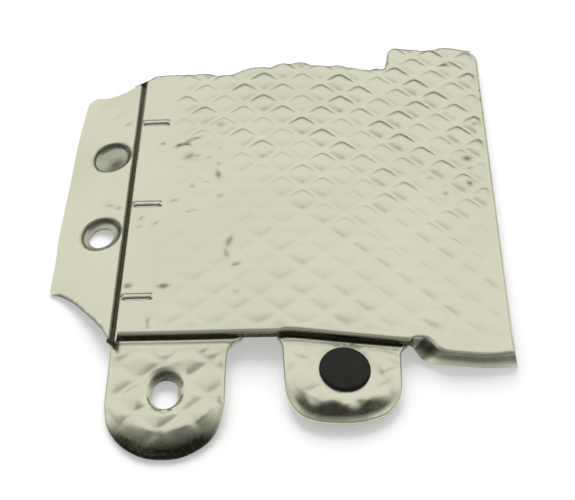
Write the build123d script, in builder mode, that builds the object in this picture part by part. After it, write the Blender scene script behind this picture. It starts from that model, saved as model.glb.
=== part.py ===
"""Embossed aluminium heat shield for a starter motor, lying as it comes to rest.

X runs across the panel, Y along the crease and Z up. Sizes are in millimetres.
The shield is drawn about the ridge of its crowned panel and is then moved so that
the origin is at the bottom centre of its box.
"""

import os
from math import asin, atan, copysign, cos, degrees, hypot, radians, sin, sqrt, tan

from build123d import *

# Sheet
sheet = 1.0
roll_radius = 1.6

# Crowned panel
crown_fall = 3.7
ridge_x = -5.0
ridge_radius = 350.0
crease_x = -60.6
fold_y = -105.0
lip_y = -109.4
lip_left_x = 31.0
lip_shoulder_x = 28.0
lip_start_x = 24.4
lip_bend_radius = 2.0
right_x_top = 57.1
right_x_bottom = 55.3

# Cut top edge of the panel, from the flange to the raised corner
wavy_edge = [(-71.0, -2.9), (-60.6, 1.8), (-55.4, 5.6), (-43.0, 5.8), (-33.0, 5.2), (-23.0, 8.6),
             (-7.0, 10.9), (6.0, 10.3), (13.5, 9.0), (21.0, 9.9)]
step_foot = (23.1, 10.4)
step_head = (24.0, 22.0)
raised_edge = [(31.0, 21.6), (38.0, 22.1), (43.5, 23.9)]
raised_radii = [6.0, 12.0, 12.0]
step_radii = [1.5, 3.2]
corner_radius = 3.0

# Flange beyond the crease
flange_angle = 13.0
flange_width = 21.2
flange_top_width = 19.4
flange_corner_width = 16.8
flange_top_y = -6.4
flange_foot_y = -86.2
flange_cut_y = -107.5
flange_cut_radius = 26.0
flange_corner_radius = 3.4
groove_half_width = 1.5
groove_depth = 1.1
groove_lip_radius = 1.2
groove_root_radius = 0.5

# Diamond embossing
pitch_x = 13.0
pitch_y = 11.05
first_bump_y = -3.7
bump_half_x = 5.2
bump_half_y = 4.45
bump_height = 1.0
bump_top_share = 0.36
bump_root = 0.3
field_left = -46.0
field_right = 49.0
field_bottom = -98.0
field_top = 24.0
tab_bump_edge = 5.5
slot_bump_clear = 9.5
button_bump_clear = 12.5

# Tabs below the fold
tab_drop = 3.0
tab_rim_depth = 1.2
tab_roll_radius = 1.4
slot_tab_left = -61.0
slot_tab_width = 33.2
slot_tab_length = 37.2
button_tab_left = -12.0
button_tab_width = 33.4
button_tab_length = 26.3
button_tab_corner = 11.0
notch_radius = 3.6

# Bolt slot with its pressed rim
slot_width = 7.0
slot_length = 9.6
slot_rim = 1.7
slot_rim_depth = 2.2
slot_land = 0.6
slot_from_fold = 17.6

# Pressed cups in the flange
cup_radius = 6.2
cup_step = 0.7
cup_step_depth = 1.2
cup_depth = 2.6
cup_wall = 0.8
cup_from_crease = 7.8
blind_cup_y = -32.2
bore_cup_y = -65.4
bore_radius = 4.0

# Lanced ribs at the crease
rib_from_crease = 1.5
rib_length = 9.0
rib_width = 1.7
rib_height = 0.8
rib_taper = 25.0
rib_slit = 0.5
rib_pitch = 36.7
rib_first_y = -17.8
rib_count = 3

# Retainer button
button_x = 5.3
button_from_fold = 9.8
head_radius = 7.25
head_height = 0.9
head_edge = 0.3
seat_depth = 0.15
seat_clearance = 0.25
stem_radius = 3.5
stem_clearance = 0.15
bead_radius = 4.0
bead_height = 1.3
bead_clearance = 0.15

# Worked-out places
fall = radians(crown_fall)
bend = radians(flange_angle)
ridge_reach = ridge_radius * tan(fall)
crease_z = -(ridge_x - crease_x) * tan(fall)
rest_z = crease_z - flange_width * sin(bend) - sheet / cos(bend)
slot_tab_right = slot_tab_left + slot_tab_width
slot_tab_round = slot_tab_width / 2
slot_tab_straight_y = fold_y - slot_tab_length + slot_tab_round
button_tab_right = button_tab_left + button_tab_width
button_tab_end_y = fold_y - button_tab_length
slot_x = slot_tab_left + slot_tab_width / 2
slot_y = fold_y - slot_from_fold
button_y = fold_y - button_from_fold
bump_inset = bump_half_x * bump_half_y / hypot(bump_half_x, bump_half_y)
bump_taper = degrees(atan(bump_inset * (1 - bump_top_share) / bump_height))
margin = 10.0
strip_end_x = crease_x + 3 * groove_half_width
back_y = field_top + margin
front_y = fold_y - slot_tab_length - margin
right_lean = (right_x_top - right_x_bottom) / (raised_edge[-1][1] - lip_y)
right_x_back = right_x_bottom + right_lean * (back_y - lip_y)


def crown(x):
    """Height of the panel's upper face at x, and its turn about Y in degrees."""
    from_ridge = x - ridge_x
    if abs(from_ridge) < ridge_reach:
        height = sqrt(ridge_radius**2 - from_ridge**2) - ridge_radius / cos(fall)
        return height, degrees(asin(from_ridge / ridge_radius))
    return -abs(from_ridge) * tan(fall), copysign(crown_fall, from_ridge)


def on_crown(x, y, drop=0.0):
    """Location on the panel's upper face, or on a face lower than it by drop."""
    height, turn = crown(x)
    return Location((x, y, height - drop), (0, turn, 0))


def flange_point(width, y):
    """Plan place on the flange, at a width measured along it from the crease."""
    return (crease_x - width * cos(bend), y)


def on_flange(width, y):
    """Plane on the flange's upper face whose own Y is the flange's normal."""
    place = (crease_x - width * cos(bend), y, crease_z - width * sin(bend))
    return Plane(origin=place, x_dir=(0, 1, 0), z_dir=(cos(bend), 0, sin(bend)))


def under_crown(face, drop, depth):
    """The stretch of a plan face's prism that lies at this drop and depth under the crown."""
    left = crease_x - margin
    right = right_x_top + margin
    with BuildPart() as piece:
        with BuildSketch(Plane.XZ.offset(-back_y)):
            with BuildLine():
                FilletPolyline(
                    (left, (left - ridge_x) * tan(fall) - drop),
                    (ridge_x, -drop),
                    (right, (ridge_x - right) * tan(fall) - drop),
                    radius=[ridge_radius],
                )
                offset(amount=depth, side=Side.RIGHT)
            make_face()
        extrude(amount=back_y - front_y)
        with BuildSketch(Plane.XY.offset(rest_z - margin)):
            add(face)
        extrude(amount=2 * margin - rest_z, mode=Mode.INTERSECT)
    return piece.part


def bump_places(left, right, bottom, top, drop):
    """Centres of the diamonds in a field, on two grids half a pitch apart."""
    places = []
    rows = int((first_bump_y - bottom) / pitch_y * 2) + 1
    rows_up = int((top - first_bump_y) / pitch_y * 2) + 1
    columns = int(max(abs(left), abs(right)) / pitch_x * 2) + 1
    for row in range(-rows_up, rows):
        for column in range(-columns, columns + 1):
            x = column * pitch_x / 2
            y = first_bump_y - row * pitch_y / 2
            if (row + column) % 2 == 0 and left <= x <= right and bottom <= y <= top:
                places.append(on_crown(x, y, drop))
    return places


def clear_of(places, x, y, radius):
    """The places that lie further than a radius from a point."""
    return [place for place in places if hypot(place.position.X - x, place.position.Y - y) > radius]


def emboss_places(depth):
    """Centres of all the diamonds of the panel and the tabs, at a depth below the upper face."""
    places = bump_places(field_left, field_right, field_bottom, field_top, depth)
    slot_tab = bump_places(
        slot_tab_left + tab_bump_edge,
        slot_tab_right - tab_bump_edge,
        slot_tab_straight_y,
        fold_y - sheet,
        tab_drop + depth,
    )
    button_tab = bump_places(
        button_tab_left + tab_bump_edge,
        button_tab_right - tab_bump_edge,
        button_tab_end_y + tab_bump_edge,
        fold_y - sheet,
        tab_drop + depth,
    )
    places += clear_of(slot_tab, slot_x, slot_y, slot_bump_clear)
    return places + clear_of(button_tab, button_x, button_y, button_bump_clear)


def outer_edges(piece, upright=0.2):
    """Edges where the upper faces of a piece meet its upright sides."""
    upper = piece.faces().filter_by(lambda face: face.normal_at().Z > 1 - upright)
    sides = piece.faces().filter_by(lambda face: abs(face.normal_at().Z) < upright)
    return upper.edges() & sides.edges()


def cup_section(inner):
    """Half section of a pressed cup, from its axis or its bore out to its rim."""
    floor_slope = (cup_depth - cup_step_depth) / (cup_radius - cup_step)
    inner_depth = cup_depth - inner * floor_slope
    return [
        (cup_radius, 0),
        (cup_radius - cup_step, -cup_step_depth),
        (inner, -inner_depth),
        (inner, -inner_depth - sheet),
        (cup_radius - cup_step + cup_wall, -cup_step_depth - sheet),
        (cup_radius + cup_wall, -sheet / 2),
    ]


def rimmed_tab(plan):
    """Tab at its drop below the panel, with its free edge turned down into a rim."""
    with BuildSketch() as inside:
        add(plan)
        offset(amount=-sheet, kind=Kind.INTERSECTION)
    with BuildPart() as tab:
        add(under_crown(plan, tab_drop, sheet + tab_rim_depth))
        add(under_crown(inside.sketch, tab_drop + sheet, 2 * tab_rim_depth), mode=Mode.SUBTRACT)
        free = outer_edges(tab).filter_by(lambda edge: edge.center().Y < fold_y - sheet / 4)
        fillet(free, tab_roll_radius)
    return tab.part


def diamond(share):
    """Points of the diamond at a share of its size."""
    return [
        (bump_half_x * share, 0),
        (0, bump_half_y * share),
        (-bump_half_x * share, 0),
        (0, -bump_half_y * share),
    ]


# One diamond of the embossing, with a root that sinks into the sheet
with BuildPart() as bump:
    with BuildSketch(Plane.XY.offset(-bump_root)):
        Polygon(*diamond(1 + bump_root / bump_height * (1 - bump_top_share)), align=None)
    extrude(amount=bump_root + bump_height, taper=bump_taper)

# Strip of the panel right of the groove, before its top edge is cut
with BuildSketch() as panel_strip:
    with BuildLine():
        FilletPolyline(
            (crease_x + groove_half_width, back_y),
            (crease_x + groove_half_width, fold_y),
            (lip_shoulder_x, fold_y),
            (lip_left_x, lip_y),
            (right_x_bottom, lip_y),
            (right_x_back, back_y),
            radius=[0, lip_bend_radius, lip_bend_radius, 0],
        )
        Line((right_x_back, back_y), (crease_x + groove_half_width, back_y))
    make_face()

# Turned-down lip along the right side, round the pointed corner and along the bottom
with BuildSketch() as lip_band:
    with BuildLine():
        FilletPolyline(
            (lip_start_x, fold_y),
            (lip_shoulder_x, fold_y),
            (lip_left_x, lip_y),
            (right_x_bottom, lip_y),
            (right_x_back, back_y),
            radius=[lip_bend_radius, lip_bend_radius, 0],
        )
        offset(amount=sheet, side=Side.LEFT, kind=Kind.INTERSECTION)
    make_face()

with BuildPart() as lip:
    add(under_crown(lip_band.sketch, 0, margin))
    split(bisect_by=Plane.XY.offset(rest_z), keep=Keep.TOP)

# Apron between the panel and its tabs
with BuildSketch() as apron_band:
    with BuildLine():
        Polyline(
            (crease_x + groove_half_width, fold_y),
            (lip_start_x, fold_y),
            (lip_start_x, fold_y + sheet),
            (crease_x + groove_half_width, fold_y + sheet),
            close=True,
        )
    make_face()

# Panel with its lip and apron, and the edges rolled where it is turned down
with BuildPart() as panel:
    add(under_crown(panel_strip.sketch, 0, sheet))
    add(lip.part)
    add(under_crown(apron_band.sketch, 0, tab_drop + sheet))
    turned = outer_edges(panel).filter_by(lambda edge: edge.center().Y < fold_y + sheet / 4)
    turned = turned + outer_edges(panel).filter_by(lambda edge: edge.center().X > right_x_bottom - sheet / 4)
    fillet(turned, roll_radius)

# Tab with the bolt slot
with BuildSketch() as slot_tab_plan:
    with BuildLine():
        top = Line((slot_tab_right + notch_radius, fold_y + sheet / 2), (slot_tab_left, fold_y + sheet / 2))
        side = Line(top @ 1, (slot_tab_left, slot_tab_straight_y))
        end = RadiusArc(side @ 1, (slot_tab_right, slot_tab_straight_y), -slot_tab_round)
        far_side = Line(end @ 1, (slot_tab_right, fold_y - notch_radius))
        flare = RadiusArc(far_side @ 1, (slot_tab_right + notch_radius, fold_y), notch_radius)
        Line(flare @ 1, top @ 0)
    make_face()

# Tab that carries the button
with BuildSketch() as button_tab_plan:
    with BuildLine():
        top = Line(
            (button_tab_right + notch_radius, fold_y + sheet / 2),
            (button_tab_left - notch_radius, fold_y + sheet / 2),
        )
        step = Line(top @ 1, (button_tab_left - notch_radius, fold_y))
        flare = RadiusArc(step @ 1, (button_tab_left, fold_y - notch_radius), notch_radius)
        round_end = FilletPolyline(
            flare @ 1,
            (button_tab_left, button_tab_end_y),
            (button_tab_right, button_tab_end_y),
            (button_tab_right, fold_y - notch_radius),
            radius=button_tab_corner,
        )
        far_flare = RadiusArc(round_end @ 1, (button_tab_right + notch_radius, fold_y), notch_radius)
        Line(far_flare @ 1, top @ 0)
    make_face()

# Cut outline of the panel and its flange
with BuildSketch() as panel_plan:
    with BuildLine():
        cut = RadiusArc((crease_x, flange_cut_y), flange_point(flange_width, flange_foot_y), flange_cut_radius)
        edge = ThreePointArc(
            cut @ 1,
            flange_point(flange_width, (flange_foot_y + flange_top_y) / 2),
            flange_point(flange_top_width, flange_top_y),
        )
        corner = RadiusArc(edge @ 1, flange_point(flange_corner_width, wavy_edge[0][1]), flange_corner_radius)
        wave = Spline(corner @ 1, *wavy_edge)
        rest = FilletPolyline(
            wave @ 1,
            step_foot,
            step_head,
            *raised_edge,
            (right_x_top, raised_edge[-1][1]),
            (right_x_bottom, lip_y),
            (lip_left_x, lip_y),
            (lip_shoulder_x, fold_y),
            (crease_x, fold_y),
            radius=[*step_radii, *raised_radii, corner_radius, 0, lip_bend_radius, lip_bend_radius],
        )
        Line(rest @ 1, cut @ 0)
    make_face()

# Embossing, cut off at the outline of the panel
with BuildPart() as embossing:
    with Locations(*emboss_places(0)):
        add(bump.part)
    with BuildSketch(Plane.XY.offset(rest_z - margin)):
        add([panel_plan.sketch, slot_tab_plan.sketch, button_tab_plan.sketch])
    extrude(amount=2 * margin - rest_z, mode=Mode.INTERSECT)

# The shield
with BuildPart() as heat_shield:
    with BuildSketch(Plane.XZ.offset(-back_y)):
        with BuildLine():
            FilletPolyline(
                (crease_x - (flange_width + margin) * cos(bend), crease_z - (flange_width + margin) * sin(bend)),
                (crease_x - groove_half_width * cos(bend), crease_z - groove_half_width * sin(bend)),
                (crease_x, crease_z - groove_depth),
                (crease_x + groove_half_width, crease_z + groove_half_width * tan(fall)),
                (strip_end_x, crown(strip_end_x)[0]),
                radius=[groove_lip_radius, groove_root_radius, groove_lip_radius],
            )
            offset(amount=sheet, side=Side.RIGHT)
        make_face()
    extrude(amount=back_y - fold_y + flange_cut_radius)
    with BuildSketch(Plane.XY.offset(rest_z - margin)):
        with BuildLine():
            Polyline(
                (crease_x + groove_half_width, fold_y),
                (crease_x + groove_half_width, front_y),
                (right_x_top, front_y),
                (right_x_top, fold_y),
                close=True,
            )
        make_face()
    extrude(amount=2 * margin - rest_z, mode=Mode.SUBTRACT)
    add(panel.part)

    with BuildSketch(Plane.XY.offset(rest_z - margin)):
        add(panel_plan.sketch)
    extrude(amount=2 * margin - rest_z, mode=Mode.INTERSECT)

    add(rimmed_tab(slot_tab_plan.sketch))
    add(rimmed_tab(button_tab_plan.sketch))

    # Pressed cups, one blind and one open
    for cup_y in (blind_cup_y, bore_cup_y):
        seat = on_flange(cup_from_crease, cup_y)
        with BuildSketch(Plane(origin=seat.origin, x_dir=seat.x_dir, z_dir=seat.y_dir)):
            Circle(cup_radius)
        extrude(amount=sheet * 2, both=True, mode=Mode.SUBTRACT)
        inner = bore_radius if cup_y == bore_cup_y else 0
        with BuildSketch(seat):
            with BuildLine():
                Polyline(cup_section(inner), close=True)
            make_face()
        revolve(axis=Axis(seat.origin, seat.y_dir))

    # Slot for the bolt, with its rim pressed down
    slot_plane = Plane(on_crown(slot_x, slot_y, tab_drop))
    with BuildSketch(slot_plane.offset(-sheet / 2)):
        SlotOverall(slot_length + 2 * (slot_rim + sheet), slot_width + 2 * (slot_rim + sheet), rotation=90)
    with BuildSketch(slot_plane.offset(-slot_rim_depth)):
        SlotOverall(slot_length + 2 * sheet, slot_width + 2 * sheet, rotation=90)
    loft()
    with BuildSketch(slot_plane.offset(sheet / 4)):
        SlotOverall(slot_length + 2 * slot_rim, slot_width + 2 * slot_rim, rotation=90)
    with BuildSketch(slot_plane.offset(slot_land - slot_rim_depth)):
        SlotOverall(slot_length, slot_width, rotation=90)
    loft(mode=Mode.SUBTRACT)
    with BuildSketch(slot_plane):
        SlotOverall(slot_length, slot_width, rotation=90)
    extrude(amount=-slot_rim_depth - sheet, mode=Mode.SUBTRACT)

    # Lanced ribs
    for index in range(rib_count):
        rib_x = crease_x + rib_from_crease + rib_length / 2
        rib_y = rib_first_y - index * rib_pitch
        rib_plane = Plane(on_crown(rib_x, rib_y))
        with BuildSketch(rib_plane.offset(-sheet / 2)):
            Rectangle(rib_length, rib_width)
        extrude(amount=sheet / 2 + rib_height, taper=rib_taper)
        with BuildSketch(rib_plane.offset(-2 * sheet)):
            with Locations((0, -(rib_width + rib_slit) / 2)):
                Rectangle(rib_length - rib_width, rib_slit)
        extrude(amount=4 * sheet, mode=Mode.SUBTRACT)

    # Seat and hole for the button
    seat_plane = Plane(on_crown(button_x, button_y, tab_drop + seat_depth))
    with BuildSketch(seat_plane):
        Circle(head_radius + seat_clearance)
    extrude(amount=sheet, mode=Mode.SUBTRACT)
    with BuildSketch(seat_plane):
        Circle(stem_radius + stem_clearance)
    extrude(amount=-2 * sheet, mode=Mode.SUBTRACT)

    # Embossing, raised above the sheet and hollow below it
    add(embossing.part)
    with Locations(*emboss_places(sheet)):
        add(bump.part, mode=Mode.SUBTRACT)

# Button pushed into its hole in the tab
with BuildPart() as retainer_button:
    with BuildSketch(Plane(origin=seat_plane.origin, x_dir=seat_plane.x_dir, z_dir=-seat_plane.y_dir)):
        with BuildLine():
            bead_top = -(sheet - seat_depth) - bead_clearance
            bead_bottom = bead_top - bead_height
            Polyline(
                (0, head_height),
                (head_radius - head_edge, head_height),
                (head_radius, head_height - head_edge),
                (head_radius, 0),
                (stem_radius, 0),
                (stem_radius, bead_top),
                (bead_radius, bead_top - (bead_radius - stem_radius)),
                (stem_radius, bead_bottom),
                (0, bead_bottom),
                close=True,
            )
        make_face()
    revolve(axis=Axis(seat_plane.origin, seat_plane.z_dir))

# Origin at the bottom centre of the box
box = heat_shield.part.bounding_box()
place = Location((-box.center().X, -box.center().Y, -box.min.Z))
os.makedirs("parts", exist_ok=True)
for name, piece in (("heat_shield", heat_shield.part), ("retainer_button", retainer_button.part)):
    placed = piece.moved(place)
    placed.label = name
    export_step(placed, f"parts/{name}.step")
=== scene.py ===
"""Visual model of an embossed aluminium starter heat shield with its black retainer button.

Sizes are in millimetres in the frame of the part's source, and are moved to the row frame and
turned into metres when a mesh is made.
"""

from math import asin, cos, pi, radians, sin, sqrt, tan

import bpy
import numpy as np
from mathutils import Matrix, Vector
from mathutils.geometry import delaunay_2d_cdt


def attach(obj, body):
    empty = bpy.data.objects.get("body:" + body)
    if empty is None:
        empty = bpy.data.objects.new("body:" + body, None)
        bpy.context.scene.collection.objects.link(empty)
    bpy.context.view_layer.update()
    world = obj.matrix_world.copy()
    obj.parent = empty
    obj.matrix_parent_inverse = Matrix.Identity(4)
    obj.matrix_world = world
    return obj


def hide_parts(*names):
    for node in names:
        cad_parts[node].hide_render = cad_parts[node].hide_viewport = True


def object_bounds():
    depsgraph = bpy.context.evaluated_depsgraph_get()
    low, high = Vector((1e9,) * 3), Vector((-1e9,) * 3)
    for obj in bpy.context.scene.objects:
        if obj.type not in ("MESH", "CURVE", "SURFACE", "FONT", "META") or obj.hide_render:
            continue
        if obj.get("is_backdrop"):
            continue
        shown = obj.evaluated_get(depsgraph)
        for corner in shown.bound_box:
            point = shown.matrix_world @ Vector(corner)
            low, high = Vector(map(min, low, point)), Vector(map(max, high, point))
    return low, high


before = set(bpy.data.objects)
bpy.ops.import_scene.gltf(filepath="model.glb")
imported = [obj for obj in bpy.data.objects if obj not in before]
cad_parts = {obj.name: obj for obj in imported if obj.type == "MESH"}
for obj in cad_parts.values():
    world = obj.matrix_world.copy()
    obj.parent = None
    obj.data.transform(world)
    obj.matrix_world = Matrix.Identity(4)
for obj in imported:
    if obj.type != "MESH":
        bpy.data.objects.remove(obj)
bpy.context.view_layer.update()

# Placement of the drawing in the row frame
PLACE = np.array((12.2082, 59.15, 9.4413))
MM = 0.001

# Sheet, crown, groove and lips
SHEET = 1.0
ROLL = 1.6
CROWN_FALL = radians(3.7)
RIDGE_X = -5.0
RIDGE_RADIUS = 350.0
CREASE_X = -60.6
FOLD_Y = -105.0
LIP_Y = -109.4
LIP_ROLL = 1.3
LIP_CLEAR = 0.45
RIGHT_X_TOP = 57.1
RIGHT_X_BOTTOM = 55.3
TOP_Y = 23.9
RIGHT_LEAN = (RIGHT_X_TOP - RIGHT_X_BOTTOM) / (TOP_Y - LIP_Y)
BEND = radians(13.0)
FLANGE_WIDTH = 21.2
GROOVE_HALF = 0.95
GROOVE_DEPTH = 1.5
GROOVE_WIDEN = 0.25
GROOVE_WIDEN_Y = (-60.0, 0.0)
GROOVE_FLOOR_SOFT = 0.015
GROOVE_RIM_SOFT = 0.012
CREASE_Z = -(RIDGE_X - CREASE_X) * tan(CROWN_FALL)
REST_Z = CREASE_Z - FLANGE_WIDTH * sin(BEND) - SHEET / cos(BEND)

# Embossing
PITCH_X = 13.0
PITCH_Y = 11.05
FIRST_BUMP_Y = -3.7
BUMP_HEIGHT = 0.40
BUMP_POWER = 3.0
BUMP_REACH = 0.82
BUMP_SPAN = 0.98
BUMP_CORNER = 1.25
BUMP_LEAN = 0.6
BUMP_LEAN_RATE = 4.0
BUMP_MEAN = 0.90
BUMP_SPREAD = 0.22
BUMP_SCATTER = (5.13, 7.71, 2.3)

# Where the embossing fades or deepens: widths, ranges, and patches with place, size and amount
FADE_RIGHT = 3.0
FADE_FOLD = 4.5
FADE_LEFT_X = (-57.0, -40.0)
FLANGE_PATCH = ((-70.0, -11.0), (5.0, 7.0), -0.3)
CALM_PATCH = ((-34.0, -55.0), (16.0, 36.0), 0.5)
DEEPER_Y = (-85.0, -15.0)
DEEPER_FROM = 0.85
DEEPER_BY = 0.75

# Cups, with distances from the axis and depths of their section, and ribs
CUP_FROM_CREASE = 7.8
CUP_X = CREASE_X - CUP_FROM_CREASE * cos(BEND)
CUP_Y = (-32.2, -65.4)
CUP_REACHES = (0.0, 4.0, 5.35, 5.7, 6.0, 6.3, 6.7, 7.2)
CUP_DEPTHS = (2.05, 1.75, 1.5, 0.85, 0.28, 0.06, 0.0)
CUP_DEPTH_BLIND = 3.0
CUP_DEPTH_OPEN = 2.7
BORE_RADIUS = 4.0
RIB_LEFT = 1.1
RIB_LENGTH = 9.6
RIB_WIDTH = 1.9
RIB_HEIGHT = 0.55
RIB_END = 1.0
RIB_SIDE = 0.5
RIB_Y = (-17.8, -54.5, -91.2)
RIB_MIDDLE = CREASE_X + RIB_LEFT + RIB_LENGTH / 2
SLIT_INSET = 0.7
SLIT_SHORT = 1.6
SLIT_OPEN = 0.6
SLIT_LAP = 0.05

# Tabs
TAB_SHEET = SHEET * 0.8
TAB_DROP = 3.0
TAB_ROLL = 0.8
TAB_RIM = 0.7
TAB_CLEAR = 0.15
TAB_EDGE = 1.2
TAB_FOLD_DROP = 2.3
TAB_FOLD_RUN = 12.0
TAB_LIFT = 0.15
TAB_LATTICE_SHIFT = 1.3
TAB_BUMPS = {"slot": 1.25, "button": 0.6}
TAB_BUMPS_PAST_FOLD = (3.5, 7.0)
TAB_BUMPS_FROM_EDGE = 0.6
TAB_BUMPS_PAST_EDGE = 0.4
END_WAVE = 0.5
END_WAVE_RATE = 0.9
END_POWER = 1.25

# Ends of the tabs: added width and fall, each with the range of Y over which it comes in
TAB_ENDS = {
    "slot": (6.6, (-124.0, -138.0), 2.6, (-122.0, -136.0)),
    "button": (4.4, (-117.0, -127.0), 2.1, (-115.0, -126.0)),
}

# Ridge and hollow along a tab's fold: distance past the fold, width and height
FOLD_BANDS = ((0.9, 0.5, 0.22), (2.0, 0.45, -0.12))

# Slot and its pressed rim, whose depth goes by the share of the way across the rim
SLOT_WIDTH = 7.0
SLOT_LENGTH = 9.6
SLOT_X = -44.4
SLOT_Y = -122.6
SLOT_RIM_Y = -121.3
SLOT_RIM_WIDTH = 10.4
SLOT_RIM_LENGTH = 14.2
SLOT_RIM_DEPTH = 0.95
SLOT_RIM_SHARES = (0.0, 0.5, 0.8, 1.0)
SLOT_RIM_DEPTHS = (1.0, 0.8, 0.25, 0.0)
SLOT_RIM_CLEAR = 2.0

# Button and its seat
BUTTON_X = 5.3
BUTTON_Y = -114.8
HEAD_RADIUS = 7.25
HEAD_HEIGHT = 0.9
STEM_RADIUS = 3.5
STEM_LENGTH = 2.3
BEAD_RADIUS = 4.0
SEAT_DEPTH = 0.15
SEAT_GAP = 0.02
SEAT_TURN = asin((BUTTON_X - RIDGE_X) / RIDGE_RADIUS)
SEAT_BLEND = (7.2, 9.0)
BUTTON_CLEAR = (7.4, 10.5)

# Mesh spacing, gaps between sets of points, and rows of rolled edges
STEP = 0.76
TURNED_STEP = 0.75
RING_STEP = 0.75
RING_LEAST = 8
RIB_STEP = 0.38
SLIT_STEP = 0.5
TAB_STEP = STEP * 0.9
EDGE_GAP = 0.3
FIELD_GAP = 0.5
RIB_GAP = 0.25
SLIT_GAP = 0.2
FIELD_LOW = (-83.0, -112.0)
FIELD_HIGH = (58.0, 26.0)
CREASE_CLEAR = 2.7
CREASE_ROWS_Y = (-106.4, 3.2)
CREASE_OFFSETS = (-2.4, -1.8, -1.4, -1.0, -0.6, -0.3, 0.0, 0.3, 0.6, 1.0, 1.4, 1.8, 2.4)
CUP_CLEAR = 7.6
CUP_RINGS = (7.2, 6.7, 6.3, 6.0, 5.7, 5.35, 4.7)
BLIND_RINGS = (4.0, 3.2, 2.4, 1.6, 0.8)
BORE_POINTS = 48
RIB_PATCH_LOW = (-0.4, -1.9)
RIB_PATCH_HIGH = (RIB_LENGTH + 0.6, 1.3)
SLOT_RINGS = (0.25, 0.5, 0.65, 0.8, 1.0)
SLOT_POINTS = 48
SEAT_RINGS = (7.2, 7.6)
SEAT_POINTS = 56
BUTTON_POINTS = 72
ARC_ROWS = 8
SLOPE_ROWS = 5
TAB_ROLL_ROWS = 6
ARC_OF_RUN = 0.85
ARC_OF_DROP = 0.9
LEAST_TURN = 0.05
MOST_TURN = pi / 2 - 0.01
HALVINGS = 40
MITRE_LEAST = 0.4
WELD_DIGITS = 4
FILL_INSIDE = 1
FILL_EPSILON = 1e-5
BLOCK = 2000
OTHER_BLOCK = 500


def crown(x):
    """Height of the crowned panel."""
    from_ridge = np.abs(np.asarray(x, float) - RIDGE_X)
    reach = RIDGE_RADIUS * tan(CROWN_FALL)
    arc = np.sqrt(np.maximum(RIDGE_RADIUS**2 - from_ridge**2, 0)) - RIDGE_RADIUS / cos(CROWN_FALL)
    return np.where(from_ridge < reach, arc, -from_ridge * tan(CROWN_FALL))


def smooth(low, high, value):
    """Smooth step from 0 at low to 1 at high."""
    share = np.clip((np.asarray(value, float) - low) / (high - low), 0, 1)
    return share * share * (3 - 2 * share)


def bump_field(x, y):
    """Height of the domed diamonds of the embossing, before it fades."""
    height = np.zeros_like(x)
    row = (FIRST_BUMP_Y - y) / (PITCH_Y / 2)
    column = x / (PITCH_X / 2)
    by_row, by_column, swing = BUMP_SCATTER
    for row_shift in (0, 1):
        near_row = np.floor(row) + row_shift
        for column_shift in (0, 1):
            near_column = np.floor(column) + column_shift
            same = (near_row + near_column) % 2 == 0
            across = np.abs(column - near_column) / BUMP_SPAN
            along = np.abs(row - near_row) / BUMP_SPAN
            reach = (across**BUMP_CORNER + along**BUMP_CORNER) ** (1 / BUMP_CORNER)
            power = BUMP_POWER - BUMP_LEAN * np.tanh(BUMP_LEAN_RATE * (row - near_row))
            dome = np.clip(1 - (reach / BUMP_REACH) ** power, 0, 1)
            scatter = np.sin(near_row * by_row + near_column * by_column + np.sin(near_row * swing))
            vary = BUMP_MEAN + BUMP_SPREAD * scatter
            height = np.where(same, np.maximum(height, dome * vary), height)
    return height * BUMP_HEIGHT


def dent(x, y, place, size, depth, turn=0.0):
    """A smooth dent or a raised wrinkle of a given size, long along its turn."""
    along = (x - place[0]) * cos(turn) + (y - place[1]) * sin(turn)
    across = (y - place[1]) * cos(turn) - (x - place[0]) * sin(turn)
    return -depth * np.exp(-((along / size[0]) ** 2) - (across / size[1]) ** 2)


def bands(distance, rows):
    """Sum of soft bands, each with its place, width and strength."""
    total = np.zeros_like(distance)
    for place, width, strength in rows:
        total += strength * np.exp(-(((distance - place) / width) ** 2))
    return total


def between(before, start, end, after, share):
    """A point on a smooth curve from start to end, led by the points on either side."""
    return 0.5 * (
        2 * start
        + (end - before) * share
        + (2 * before - 5 * start + 4 * end - after) * share**2
        + (3 * start - before - 3 * end + after) * share**3
    )


def spline(points, step=STEP, closed=False):
    """Points at about even steps along a smooth curve through a few points."""
    points = [np.array(point, float) for point in points]
    count = len(points)
    line = []
    for index in range(count if closed else count - 1):
        before = points[index - 1] if closed or index > 0 else points[0]
        start = points[index]
        end = points[(index + 1) % count]
        after = points[(index + 2) % count] if closed or index + 2 < count else end
        pieces = max(1, int(round(np.linalg.norm(end - start) / step)))
        line += [between(before, start, end, after, piece / pieces) for piece in range(pieces)]
    if not closed:
        line.append(points[-1])
    return np.array(line)


def straight(points, step=STEP):
    """Points at about even steps along straight runs."""
    line = [np.array(points[0], float)]
    for start, end in zip(points, points[1:]):
        start = np.array(start, float)
        end = np.array(end, float)
        pieces = max(1, int(round(np.linalg.norm(end - start) / step)))
        line += [start + (end - start) * piece / pieces for piece in range(1, pieces + 1)]
    return np.array(line)


def ring(place, radius, count, squeeze=1.0):
    """Points of a circle, squeezed in X where the sheet is tilted."""
    turns = [2 * pi * index / count for index in range(count)]
    return np.array([(place[0] + radius * squeeze * cos(t), place[1] + radius * sin(t)) for t in turns])


def stadium(place, width, length):
    """Points of a slot's outline."""
    radius = width / 2
    straight_half = (length - width) / 2
    points = []
    for index in range(SLOT_POINTS):
        turn = 2 * pi * index / SLOT_POINTS
        shift = straight_half if sin(turn) >= 0 else -straight_half
        points.append((place[0] + radius * cos(turn), place[1] + shift + radius * sin(turn)))
    return np.array(points)


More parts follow.
